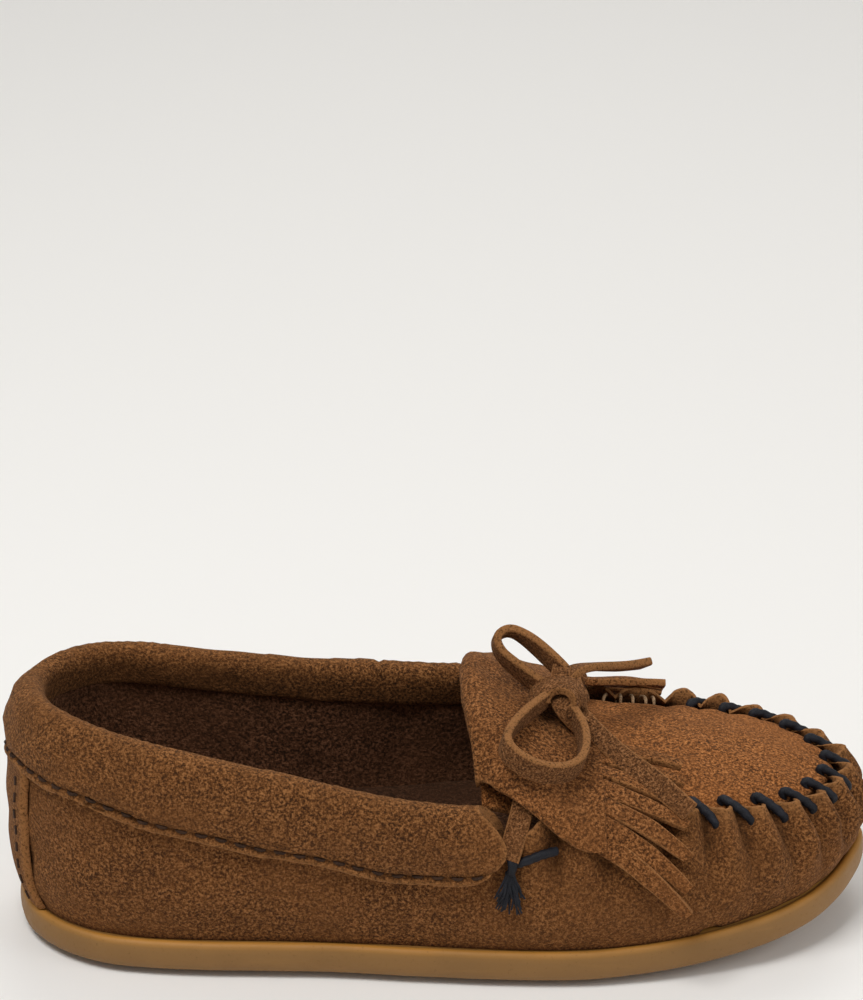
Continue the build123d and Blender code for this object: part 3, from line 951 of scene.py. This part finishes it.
# ---- toe plug and its seam --------------------------------------------------------------------
class BuildPlug(bpy.types.Operator):
    """The crowned lens of suede over the toes, dimpled along its seam"""
    bl_idname = "moccasin.build_plug"
    bl_label = "Toe plug"

    def execute(self, context):
        probe = Probe("toe_plug")
        back = float(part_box("toe_plug")[0][0] / MM) + 0.3
        near, far = place_of((back, -20.0)), place_of((back, 20.0))
        parts = [0.0, 0.12, 0.25, 0.38, 0.5, 0.6, 0.69, 0.76, 0.82, 0.87, 0.91, 0.94, 0.965, 0.985,
                 1.0]
        sections, edge, dark = [], [], []
        for s in stations(near, far, 0.9):
            place = station(s)
            radius = self.reach(probe, place)
            swell, strength = gather(s)
            row = []
            for part in parts:
                point = place.at(radius * part, 0)
                top = probe.down(*(place.spine + place.out * min(radius * part, radius - 0.4)))
                inside = radius * (1 - part)
                crown = 1.5 * (1 - part ** 2) * smooth((point[0] - 30) / 25)
                ripple = (swell - 0.6) * 0.9 * strength * math.exp(-(inside / 4.5) ** 1.5)
                roll = -1.1 * math.exp(-inside / 1.2)
                point[2] = top + crown + ripple + roll + 0.18 * wave(31, 15, point[0], point[1])
                row.append(point)
                # Painted shade at the dimples by each stitch, close to the seam.
                dark.append(strength * smooth(0.5 - swell) * math.exp(-inside / 1.4) * 0.7)
                edge.append(0.0)
            under = sizes().leather
            out = np.append(place.out, 0.0)
            rim = row[-1]
            row += [rim + out * 0.25 - UP * 0.5, rim + out * 0.1 - UP * 1.2]
            row += [np.array((*(place.at(radius * part, 0)[:2]), rim[2] - under - 0.2 + part_lift))
                    for part, part_lift in ((0.9, 0.2), (0.5, 2.0), (0.0, 3.0))]
            edge += [0.5, 0.5, 0, 0, 0]
            # Painted shade on the rolled rim and the underside.
            dark += [0.3, 0.6, 0.8, 0.8, 0.8]
            sections.append(row)
        points, faces = open_loft(sections)
        keep(finish_mesh("toe_plug_suede", points, faces, {"edge": edge, "shade": dark}), "plug",
             nodes=("toe_plug",))
        return {"FINISHED"}

    @staticmethod
    def reach(probe, place):
        """Radius of the plug's edge at a place."""
        low, high = 5.0, 60.0
        for _ in range(18):
            middle = (low + high) / 2
            inside = probe.down(*(place.spine + place.out * middle)) is not None
            low, high = (middle, high) if inside else (low, middle)
        return low


class BuildWhipStitches(bpy.types.Operator):
    """Thick waxed stitches over the toe seam, and the fine ones on the inner side"""
    bl_idname = "moccasin.build_whip_stitches"
    bl_label = "Whip stitches"

    LEAN = 2.7                             # of the stitches at the toe's sides

    def execute(self, context):
        plug, wall = Probe("toe_plug"), Probe("side_wall")
        radius = sizes().whip_radius
        tables = []
        for i, group in enumerate(islands("toe_whip_stitches")):
            s = place_of(group.mean(axis=0))
            turn = min(max((s - TOE_START) / TOE_ARC, 0), 1)
            slant = self.LEAN * math.cos(math.pi * turn) + np.random.default_rng(i).uniform(-0.4, 0.4)
            tables.append(self.over_seam(plug, wall, s, slant, radius, 2.2, 2.6))
        keep(finish_mesh("whip_stitches", *join_tables(tables)), "waxed",
             nodes=("toe_whip_stitches",))
        tables = []
        for i, group in enumerate(islands("plug_seam_thread")):
            s = place_of(group.mean(axis=0))
            lean, bite = np.random.default_rng(40 + i).uniform((-1.9, 1.1), (1.0, 2.1))
            tables.append(self.over_seam(plug, wall, s, lean, sizes().fine_radius, 2.0, bite))
        keep(finish_mesh("inner_side_stitches", *join_tables(tables)), "tan",
             nodes=("plug_seam_thread",))
        return {"FINISHED"}

    @staticmethod
    def over_seam(plug, wall, s, slant, radius, inner, outer):
        """One stitch from a hole in the plug over the wall's edge to a hole in the wall."""
        mid = station(s)
        seam = BuildPlug.reach(plug, mid)
        ahead = np.append(mid.ahead, 0.0) * slant
        crest_z = top_height(wall, mid)
        start = mid.at(seam - inner, 0) - ahead
        start[2] = plug.down(*(mid.spine + mid.out * (seam - inner - 0.3))) + 0.75
        out_z = crest_z - outer
        end = mid.at(edge_radius(wall, mid, out_z) + radius * 0.1, out_z) + ahead
        crest = mid.at(seam + 1.4, crest_z + radius * 0.6)
        first = start * 0.55 + crest * 0.45 - ahead * 0.1 + UP * 0.5
        last = mid.at(edge_radius(wall, mid, crest_z - 0.5) + radius * 0.7, crest_z - 0.7) + ahead * 0.5
        inward = np.append(mid.out, 0.0)
        controls = [start - UP * 2.2 + inward * 0.4, start, first, crest, last, end,
                    end - inward * 2.2 - UP * 0.3]
        path = even(curve_points(controls, 60), 0.4)
        return tube_table(path, radius, 14, 0.22, 2.4)


# ---- flap, fringe and bow -----------------------------------------------------------------------
class Arch:
    """A node's curved top across the shoe, met by rays towards a line under it."""

    MIDDLE = (-0.5, 26.0)                  # y and z of that line

    def __init__(self, node):
        self.probe = Probe(node)
        self.low, self.high = [[float(c / MM) for c in corner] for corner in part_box(node)]

    def ray(self, x, angle):
        """The top's point at an angle round the line under it, or None, and that direction."""
        out = np.array((0.0, math.cos(angle), math.sin(angle)))
        foot = np.array((x, *self.MIDDLE))
        return self.probe.hit(foot + out * 90, -out, 89.0), out

    def limits(self, x):
        """Last and first angle at which the arch is met."""
        angles = np.linspace(-0.6, math.pi + 0.6, 400)
        found = [a for a in angles if self.ray(x, a)[0] is not None]
        return found[-1], found[0]

    def row(self, x, count):
        """Evenly spaced points over the arch, from the outer edge to the inner edge."""
        points = [self.ray(x, a)[0] for a in np.linspace(*self.limits(x), 240)]
        line = even([p for p in points if p is not None], 0.3)
        run = np.linspace(0, len(line) - 1, count)
        return np.stack([np.interp(run, np.arange(len(line)), line[:, k]) for k in range(3)], axis=1)


def grid_normals(grid):
    """Unit normals of a grid of points, upward."""
    along, across = np.gradient(grid, axis=0), np.gradient(grid, axis=1)
    normals = np.cross(along, across)
    normals /= np.linalg.norm(normals, axis=2)[:, :, None]
    return normals * np.where(normals[:, :, 2:].mean() < 0, -1.0, 1.0)


class BuildKiltie(bpy.types.Operator):
    """The flap over the instep, folded back at the throat"""
    bl_idname = "moccasin.build_kiltie"
    bl_label = "Kiltie"

    COLUMNS = 70
    NOTCH = 29.5                           # the frame's flap ends here between its fringes
    FOLD = ((2.5, -5.6), (0.4, -5.2), (-1.2, -4.2), (-1.9, -2.8), (-1.7, -1.4), (-1.0, -0.5))

    def execute(self, context):
        arch = Arch("kiltie")
        start, end = arch.low[0] + 0.4, arch.high[0] - 0.3
        notch = self.NOTCH
        stops = stations(start, end, 1.0)
        table = np.array([arch.row(x if x < notch else notch - 0.2, self.COLUMNS) for x in stops])
        grid = np.zeros((len(stops), self.COLUMNS, 3))
        for j in range(self.COLUMNS):
            y = table[len(stops) // 2, j, 1]
            gap = smooth((y + 6) / 3) * smooth((23 - y) / 3)
            reach = end - gap * (end - notch - 1.6)
            for i, part in enumerate(np.linspace(0, 1, len(stops))):
                x = start + (reach - start) * part
                for k in range(3):
                    grid[i, j, k] = np.interp(x, stops, table[:, j, k])
                grid[i, j, 0] = x
        normals = grid_normals(grid)
        leather = sizes().leather
        for i in range(len(stops)):
            for j in range(self.COLUMNS):
                grid[i, j] += normals[i, j] * 0.3 * wave(41, 13, grid[i, j, 0], grid[i, j, 1])
        back = [grid[0] + np.array((dx, 0, 0)) + normals[0] * dz for dx, dz in self.FOLD]
        top = np.concatenate([np.array(back), grid])
        inward = grid_normals(top)
        for i in range(len(self.FOLD)):
            turn = np.array((-math.cos(i * 0.52 - 1.2), 0, math.sin(i * 0.52 - 1.3)))
            inward[i] = turn / np.linalg.norm(turn)
        bottom = top - inward * leather
        points, faces, edge = sheet_table(top, bottom)
        edge = [0.0 if p[0] > notch + 2.4 else e for p, e in zip(points, edge)]
        keep(finish_mesh("kiltie_suede", points, faces, {"edge": edge}), "flap",
             nodes=("kiltie",))
        return {"FINISHED"}


# How far each strand's tip swings inward, in millimetres, from the outer strand of each group.
FAN = {"fringe_near": (-3.4, -2.6, -0.9, 0.6), "fringe_middle": (-0.6, 0.4, 1.0),
       "fringe_far": (-0.8, 0.1, 0.5, 0.9)}


# How much of its cut width a strand keeps, from its root to its tip.
TAPER = ((0.0, 0.98), (0.3, 0.84), (0.9, 0.76), (1.0, 0.66))


class BuildFringe(bpy.types.Operator):
    """The cut strands at the front of the flap, each splayed and curled a little differently"""
    bl_idname = "moccasin.build_fringe"
    bl_label = "Fringe"

    def execute(self, context):
        for node, body, piece in (("fringe_near", "fringe_near_strands", "fringe_outer_side"),
                                  ("fringe_middle", SHOE, "fringe_under_bow"),
                                  ("fringe_far", "fringe_far_strands", "fringe_inner_side")):
            tables, marks = [], []
            for i, group in enumerate(sorted(islands(node), key=lambda g: g[:, 1].mean())):
                points, faces, edge = self.strand(group, len(node) * 10 + i, FAN[node][i])
                tables.append((points, faces))
                marks += edge
            keep(finish_mesh(piece, *join_tables(tables), {"edge": marks}), "flap",
                 body, (node,))
        return {"FINISHED"}

    @staticmethod
    def strand(group, seed, fan):
        """One strand along the frame's strand, from its root under the flap's edge to its tip."""
        rng = np.random.default_rng(seed)
        low, high = group[:, 0].min(), group[:, 0].max()
        centres, sides, widths = [], [], []
        for x in (low, (low + high) / 2, high):
            near = group[abs(group[:, 0] - x) < 1.6]
            if len(near) < 4:
                near = group[np.argsort(abs(group[:, 0] - x))[:8]]
            middle = near.mean(axis=0)
            flat = near - middle
            flat[:, 0] = 0
            side = np.linalg.svd(flat)[2][0]
            side = side if side[1] > 0 else -side
            centres.append(middle)
            sides.append(side)
            widths.append(np.ptp(flat @ side))
        centres, sides = np.array(centres), np.array(sides)
        stops = np.linspace(-0.1, 1.0, 22)
        line, across = [], []
        swing = fan + rng.uniform(-0.4, 0.4)
        curl = rng.uniform(0.3, 1.3)
        twist = rng.uniform(-0.4, 0.4)
        for t in stops:
            place = [np.interp(t, (0, 0.5, 1), centres[:, k]) for k in range(3)]
            if t < 0:
                place = centres[0] + (centres[1] - centres[0]) * t * 2
            side = np.array([np.interp(t, (0, 0.5, 1), sides[:, k]) for k in range(3)])
            up = np.cross(side, (1.0, 0, 0))
            up = up if up @ np.array((0, place[1] * 0.03, 1.0)) > 0 else -up
            free = max(t, 0.0) ** 2
            droop = 0.9 * math.sin(math.pi * max(t, 0.0)) * curl
            line.append(np.array(place) + side * swing * free + up * (curl * free + droop))
            across.append(side + up * twist * free)
        width = np.interp(stops, (0, 0.5, 1), widths) * np.interp(stops, *zip(*TAPER))
        points, faces, edge = strap_table(line, np.array(across), width, sizes().leather * 0.98)
        return points, faces, [0.0 if p[0] < low + 1.5 else e for p, e in zip(points, edge)]


def plane_axes(x_axis, z_axis):
    """Unit axes of a plane from its own x direction and its normal."""
    z_axis = np.array(z_axis) / np.linalg.norm(z_axis)
    x_axis = np.array(x_axis) - z_axis * (np.array(x_axis) @ z_axis)
    x_axis /= np.linalg.norm(x_axis)
    return x_axis, np.cross(z_axis, x_axis), z_axis


KNOT = np.array((24.0, -4.0, 52.6))
FACING = (KNOT, *plane_axes((1, 0, 0), (0, -0.8, 0.6)))
LYING = (KNOT + UP * 1.7, *plane_axes((0.94, 0, -0.34), (0.33, -0.22, 0.92)))
HANGING = (KNOT, *plane_axes((0.771, -0.637, 0), (-0.637, -0.771, 0)))
REACHING = (KNOT, *plane_axes((0.743, 0.669, 0), (0.669, -0.743, 0)))


class BuildBow(bpy.types.Operator):
    """The four free lengths of the thong bow: two loops and two tails"""
    bl_idname = "moccasin.build_bow"
    bl_label = "Bow"

    # Each free length's body, its plane, its route from the knot outward in that plane, with a
    # third number where it leaves the plane, how far it is turned about its own line at its two
    # ends, in radians, and what its far end is.
    ROUTES = {
        "loop_far": ("bow_loop_far", FACING, [
            (-1.0, 0.6), (-4.6, 2.8), (-8.6, 6.2), (-12.0, 9.4), (-12.8, 12.8), (-9.8, 14.6),
            (-6.0, 12.6), (-1.6, 8.6), (2.0, 4.8)], (0.75, -0.7), "object"),
        "loop_near": ("bow_loop_near", LYING, [
            (-2.0, -4.6), (-5.8, -10.4), (-9.8, -18.0), (-11.6, -24.8), (-6.0, -29.0), (1.0, -28.2),
            (6.0, -23.2), (7.0, -14.4), (4.6, -7.0), (1.6, -3.6)], (0.2, -0.2), "object"),
        "tail_near": ("bow_tail_near", HANGING, [
            (0.6, -0.4), (5.6, -2.4, 0.4), (12.0, -5.0, 1.6), (20.0, -7.8, 2.8), (29.0, -10.4, 3.4),
            (37.4, -14.2, 3.4)], (0.45, 0.8), "bare"),
        "tail_far": ("bow_tail_far", REACHING, [
            (0.0, -1.4), (2.2, 3.0), (6.2, 4.2), (11.5, 2.9), (17.0, 0.9), (22.5, -0.9),
            (27.8, -2.1)], (-0.15, -0.6), "bare"),
    }

    def execute(self, context):
        width, thickness = sizes().thong_width, sizes().thong_thickness
        for node, (body, plane, route, (turn, twist), far_end) in self.ROUTES.items():
            origin, x_axis, y_axis, normal = plane
            controls = [origin + x_axis * stop[0] + y_axis * stop[1] + normal * sum(stop[2:])
                        for stop in route]
            line = even(curve_points(controls, 90), 0.5)
            tangents = np.gradient(line, axis=0)
            turns = turn + (twist - turn) * np.linspace(0, 1, len(line))
            across = [normal * math.cos(t) + np.cross(d / np.linalg.norm(d), normal) * math.sin(t)
                      for t, d in zip(turns, tangents)]
            parts = np.linspace(0, 1, len(line))
            widths = width * (1 + 0.05 * wave(len(node), 0.5, parts))
            if far_end == "object":
                widths = widths * (0.80 + 0.32 * np.sin(np.pi * parts) ** 0.5)
            points, faces, edge = strap_table(line, np.array(across), widths, thickness)
            piece = finish_mesh(node + "_thong", points, faces, {"edge": edge})
            keep(piece, "thong", body, (node,))
            tuple(controls[0] * MM)
        return {"FINISHED"}


class BuildKnot(bpy.types.Operator):
    """The bow's knot and the two runs of thong that come up to it under the flap"""
    bl_idname = "moccasin.build_knot"
    bl_label = "Knot and lace runs"

    # Axes of the knot's front: towards the viewer of the bow, up its face, and to the toe.
    TOWARD, FACE_UP, RIGHT = np.array(((0.0, -0.88, 0.47), (0.0, 0.47, 0.88), (1.0, 0.0, 0.0)))
    HEART = KNOT + RIGHT * 0.5 - FACE_UP * 1.5
    # Each turn's radius, how far forward it lies, its tilt, and its part of the thong's width.
    WRAPS = ((5.0, 2.4, 0.25, 0.85), (4.3, 4.4, 0.04, 0.62), (3.3, 5.7, -0.15, 0.52))
    # Routes from the heart, as right, up the face and toward.
    NECK = ((0, -1.0, 0.6), (0, 2.0, 1.8), (0.3, 5.0, 0.8), (1.0, 7.2, -0.8))
    STEM = ((0, 1.4, 3.0), (0, 0.2, 5.2), (1.8, -2.8, 5.8), (4.6, -5.4, 5.0))
    BACK_RADIUS, BACK_DEPTH = 4.4, 2.0

    def execute(self, context):
        width, thickness = sizes().thong_width, sizes().thong_thickness
        toward, up, right = self.TOWARD, self.FACE_UP, self.RIGHT
        tables, marks = [], []

        def add(line, across, wide, thick):
            """One more length of thong in the knot."""
            points, faces, edge = strap_table(line, across, wide, thick)
            tables.append((points, faces))
            marks.extend(edge)

        for radius, ahead, tilt, size in self.WRAPS:
            line, across = [], []
            for t in np.linspace(-0.25, math.pi + 0.35, 44) + tilt:
                ray = right * math.cos(t) + up * math.sin(t) * 0.86
                line.append(self.HEART + ray * radius + toward * (ahead + 0.4 * math.sin(2 * t)))
                across.append(ray * 0.55 - toward * 0.83)
            add(line, np.array(across), width * size, thickness)
        back = [KNOT + right * self.BACK_RADIUS * math.cos(t) - toward * self.BACK_DEPTH * math.sin(t)
                for t in np.linspace(0, math.pi, 20)]
        add(self.route(self.NECK), right, width * 0.86, 3.0)
        add(self.route(self.STEM), right * 0.86 + up * 0.5, width * 0.9, 2.0)
        add(back, up, width * 1.2, 2.4)
        keep(finish_mesh("bow_knot", *join_tables(tables), {"edge": marks}), "thong",
             nodes=("lace_knot",))
        self.lace("lace_run_near", "lace_run_outer_side",
                  [(13.2, -35.6, 33.4), (12.2, -37.0, 31.2)], -1)
        self.lace("lace_run_far", "lace_run_inner_side",
                  [(13.6, 30.0, 38.0), (12.4, 31.0, 35.0)], 1)
        return {"FINISHED"}

    def route(self, steps):
        """The line through places given from the knot's heart."""
        controls = [self.HEART + self.RIGHT * x + self.FACE_UP * y + self.TOWARD * z
                    for x, y, z in steps]
        return even(curve_points(controls, 30), 0.5)

    @staticmethod
    def lace(node, name, tail, side):
        """The thong from under the flap's middle down to a side, -1 being the outer one."""
        arch = Arch(node)
        line = arch.row((arch.low[0] + arch.high[0]) / 2, 30)[::side] - UP * 0.3
        route = [*line[::5], *(np.array(p) for p in tail)]
        path = even(curve_points(route, 80), 0.6)
        points, faces, edge = strap_table(path, np.array((1.0, 0, 0.15)), sizes().thong_width,
                                          sizes().thong_thickness)
        keep(finish_mesh(name, points, faces, {"edge": edge}), "thong",
             nodes=(node,))


class BuildThreadTies(bpy.types.Operator):
    """The waxed thread tied through each front end of the collar, with its frayed tails"""
    bl_idname = "moccasin.build_thread_ties"
    bl_label = "Thread ties"

    # Where the tie is round the collar's front end, and the route of its arm from there: ahead,
    # out to the side, in to the middle line, and up.
    X, Z, INSET = 13.0, 29.5, 1.9
    ARM = ((0, 0, 0, 0), (3.5, 0.9, 0, 1.6), (6.5, 0.4, 0, 2.8), (9.5, 0, 1.2, 2.6))
    TURNS, TAILS = 3, 34

    def execute(self, context):
        for node, name, side in (("thread_knot_near", "thread_tie_outer_side", -1),
                                 ("thread_knot_far", "thread_tie_inner_side", 1)):
            low, high = [np.array([c / MM for c in corner]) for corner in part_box(node)]
            y = (high[1] - self.INSET) if side < 0 else (low[1] + self.INSET)
            centre = np.array((self.X, y, self.Z))
            tables = []
            for k in range(self.TURNS):
                tip = np.array((0.5 * k - 0.5, 0.0, 0.0))
                loop = [centre + tip + np.array((0.5 * math.sin(t + k), side * 1.6 * math.sin(t),
                                                 2.0 * math.cos(t)))
                        for t in np.linspace(0, 2 * math.pi, 24)]
                tables.append(tube_table(loop, 0.75, 10, 0.2, 1.8))
            arm = [centre + np.array((ahead, side * (out - back), lift))
                   for ahead, out, back, lift in self.ARM]
            tables.append(tube_table(even(curve_points(arm, 30), 0.4), 0.95, 12, 0.2, 1.8))
            rng = np.random.default_rng(77 + side)
            for _ in range(self.TAILS):
                lean = rng.uniform(-3.4, 2.6)
                reach = rng.uniform(6.0, 10.5)
                jig = rng.uniform(-0.7, 0.7, 4)
                route = [centre + np.array((jig[0] * 0.6, side * 0.6, -0.5)),
                         centre + np.array((lean * 0.3 + jig[1], side * 1.9, -reach * 0.4)),
                         centre + np.array((lean * 0.7 + jig[2], side * (2.2 + jig[3]), -reach * 0.75)),
                         centre + np.array((lean + jig[0], side * 2.4, -reach))]
                path = even(curve_points(route, 20), 0.8)
                tables.append(tube_table(path, np.linspace(0.42, 0.2, len(path)), 6))
            keep(finish_mesh(name, *join_tables(tables)), "waxed", nodes=(node,))
        return {"FINISHED"}


# ---- stage ------------------------------------------------------------------------------------
class BuildStage(bpy.types.Operator):
    """Pale floor and backdrop, soft studio light, and the camera"""
    bl_idname = "moccasin.build_stage"
    bl_label = "Stage"

    # The sweep from the floor up to the backdrop, and each light's place, power and size.
    SWEEP = ((-1.6, 0.0), (0.9, 0.0), (1.15, 0.03), (1.35, 0.14), (1.5, 0.4), (1.55, 2.2))
    HALF_WIDTH = 2.2
    SOFTBOXES = (((-0.30, -0.30, 0.95), 6.0, 0.42), ((0.9, -0.35, 0.6), 3.2, 0.6),
                 ((0.1, 0.75, 1.0), 3.9, 0.8))
    WORLD, WORLD_STRENGTH = (0.95, 0.95, 0.94, 1.0), 0.30
    SUBJECT = (0, 0, 0.03)
    YAW, PITCH, LENS, EYE = -1.7946, 24.2936, 131.6, (-0.024419, -0.69927, 0.412848)

    def execute(self, context):
        points = [(x, y, z) for x in (-self.HALF_WIDTH, self.HALF_WIDTH) for y, z in self.SWEEP]
        count = len(self.SWEEP)
        faces = [[i, i + count, i + count + 1, i + 1] for i in range(count - 1)]
        mesh = bpy.data.meshes.new("floor_and_backdrop")
        mesh.from_pydata(points, [], faces)
        mesh.shade_smooth()
        mesh.materials.append(material("stage"))
        floor = bpy.data.objects.new("floor_and_backdrop", mesh)
        context.scene.collection.objects.link(floor)
        for place, energy, size in self.SOFTBOXES:
            data = bpy.data.lights.new("softbox", "AREA")
            data.energy, data.size = energy, size
            light = bpy.data.objects.new("softbox", data)
            light.location = place
            aim = Vector(self.SUBJECT) - Vector(place)
            light.rotation_euler = aim.to_track_quat("-Z", "Y").to_euler()
            context.scene.collection.objects.link(light)
        world = bpy.data.worlds.new("pale_world")
        world.use_nodes = True
        background = world.node_tree.nodes["Background"]
        background.inputs["Color"].default_value = self.WORLD
        background.inputs["Strength"].default_value = self.WORLD_STRENGTH
        context.scene.world = world
        context.scene.view_settings.view_transform = "Standard"
        self.camera(context)
        return {"FINISHED"}

    def camera(self, context):
        """The camera, looking a little down on the shoe's outer side through a long lens."""
        data = bpy.data.cameras.new("camera")
        data.sensor_fit, data.sensor_height, data.lens = "VERTICAL", 36.0, self.LENS
        data.clip_end = 20.0
        camera = bpy.data.objects.new("camera", data)
        yaw, pitch = math.radians(self.YAW), math.radians(self.PITCH)
        right = Vector((math.cos(yaw), math.sin(yaw), 0))
        back = Vector((math.sin(yaw) * math.cos(pitch), -math.cos(yaw) * math.cos(pitch),
                       math.sin(pitch)))
        turn = Matrix((right, back.cross(right), back)).transposed()
        camera.matrix_world = Matrix.Translation(self.EYE) @ turn.to_4x4()
        context.scene.collection.objects.link(camera)
        context.scene.camera = camera


BUILDERS = (BuildStage, BuildBow, BuildSole, BuildInside, BuildWall, BuildCollar, BuildHeelStrip,
            BuildPlug, BuildWhipStitches, BuildKiltie, BuildFringe, BuildKnot, BuildThreadTies)


class MoccasinPanel(bpy.types.Panel):
    """The sizes, the colours and a button for each operator"""
    bl_idname = "VIEW3D_PT_moccasin"
    bl_label = "Moccasin"
    bl_space_type = "VIEW_3D"
    bl_region_type = "UI"
    bl_category = "Moccasin"

    def draw(self, context):
        for group in (context.scene.moccasin_sizes, context.scene.moccasin_tones):
            box = self.layout.box()
            for name in group.bl_rna.properties.keys():
                if name not in ("rna_type", "name"):
                    box.prop(group, name)
        for builder in BUILDERS:
            self.layout.operator(builder.bl_idname)


CLASSES = (MoccasinSizes, MoccasinTones, *BUILDERS, MoccasinPanel)


def register():
    for cls in CLASSES:
        bpy.utils.register_class(cls)
    bpy.types.Scene.moccasin_sizes = bpy.props.PointerProperty(type=MoccasinSizes)
    bpy.types.Scene.moccasin_tones = bpy.props.PointerProperty(type=MoccasinTones)


def unregister():
    del bpy.types.Scene.moccasin_sizes
    del bpy.types.Scene.moccasin_tones
    for cls in reversed(CLASSES):
        bpy.utils.unregister_class(cls)


def main():
    """Builds the moccasin piece by piece."""
    register()
    for builder in BUILDERS:
        group, action = builder.bl_idname.split(".")
        getattr(getattr(bpy.ops, group), action)()


if __name__ == "__main__":
    main()
